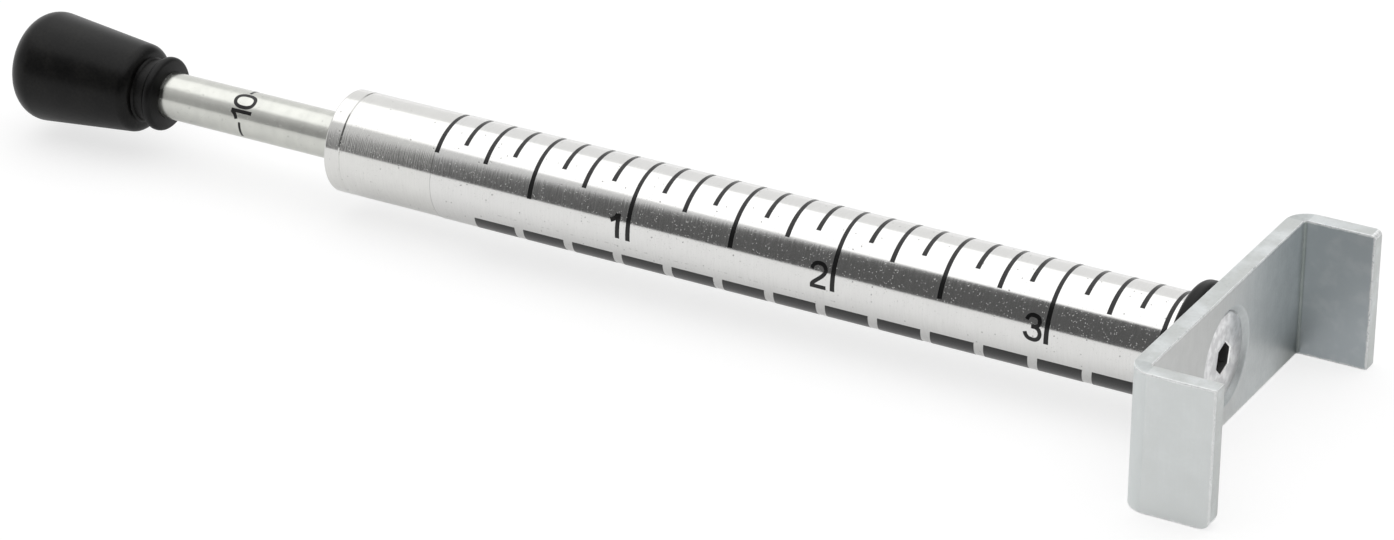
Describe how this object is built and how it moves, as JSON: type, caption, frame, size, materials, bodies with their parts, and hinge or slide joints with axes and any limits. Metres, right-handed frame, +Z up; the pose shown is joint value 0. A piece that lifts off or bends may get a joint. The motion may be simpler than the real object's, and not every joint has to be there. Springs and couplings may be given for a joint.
{
  "type": "belt tension gauge",
  "caption": "Hand-held belt tension gauge: a spring plunger with a knob in a scaled barrel, a rubber marker ring, and a U-shaped cradle that sits over the belt.",
  "frame": {"origin": "in the plane of the belt seat, on the axis of the barrel, midway between the two legs of the cradle", "axes": "+X along the barrel and out of the open cradle towards the belt; +Z up as the gauge lies on the long edge of its cradle; Y across the belt channel"},
  "size_m": [0.1615, 0.0428, 0.016],
  "materials": {
    "zinc_plate": "bright zinc plate over rolled strip, satin, with bright deburred edges",
    "zinc_screw": "bright zinc plate with driver scuffs",
    "turned_aluminium": "turned and brushed round the axis",
    "printed_foil": "satin silver foil with black graduations",
    "black_rubber": "dull black rubber",
    "bronze_bush": "machined bronze",
    "plated_rod": "bright plated steel, lightly polished along the rod",
    "spring_wire": "drawn spring wire",
    "black_knob": "satin black moulding"
  },
  "bodies": {
    "barrel": {"belt_cradle": "zinc_plate", "cradle_screw": "zinc_screw", "barrel_tube": "turned_aluminium", "scale_label": "printed_foil", "end_plug": "turned_aluminium", "end_cap": "turned_aluminium", "guide_bush": "bronze_bush", "return_bumper": "black_rubber", "plunger_spring": "spring_wire"},
    "marker": {"marker_ring": "black_rubber"},
    "follower": {"spring_follower": "bronze_bush"},
    "plunger": {"plunger_rod": "plated_rod", "follower_screw": "zinc_screw", "knob": "black_knob", "knob_ring": "black_rubber"}
  },
  "joints": [
    {"name": "plunger_slide", "type": "slide", "parent": "barrel", "child": "follower", "axis": [1, 0, 0], "range_m": [0, 0.02513], "stiffness_N_per_m": 3213.5, "deforming": ["plunger_spring"]},
    {"name": "plunger_spin", "type": "hinge", "parent": "follower", "child": "plunger", "pos_m": [-0.09305, 0, 0], "axis": [1, 0, 0], "continuous": true},
    {"name": "marker_slide", "type": "slide", "parent": "barrel", "child": "marker", "axis": [1, 0, 0], "range_m": [-0.09, 0]}
  ]
}
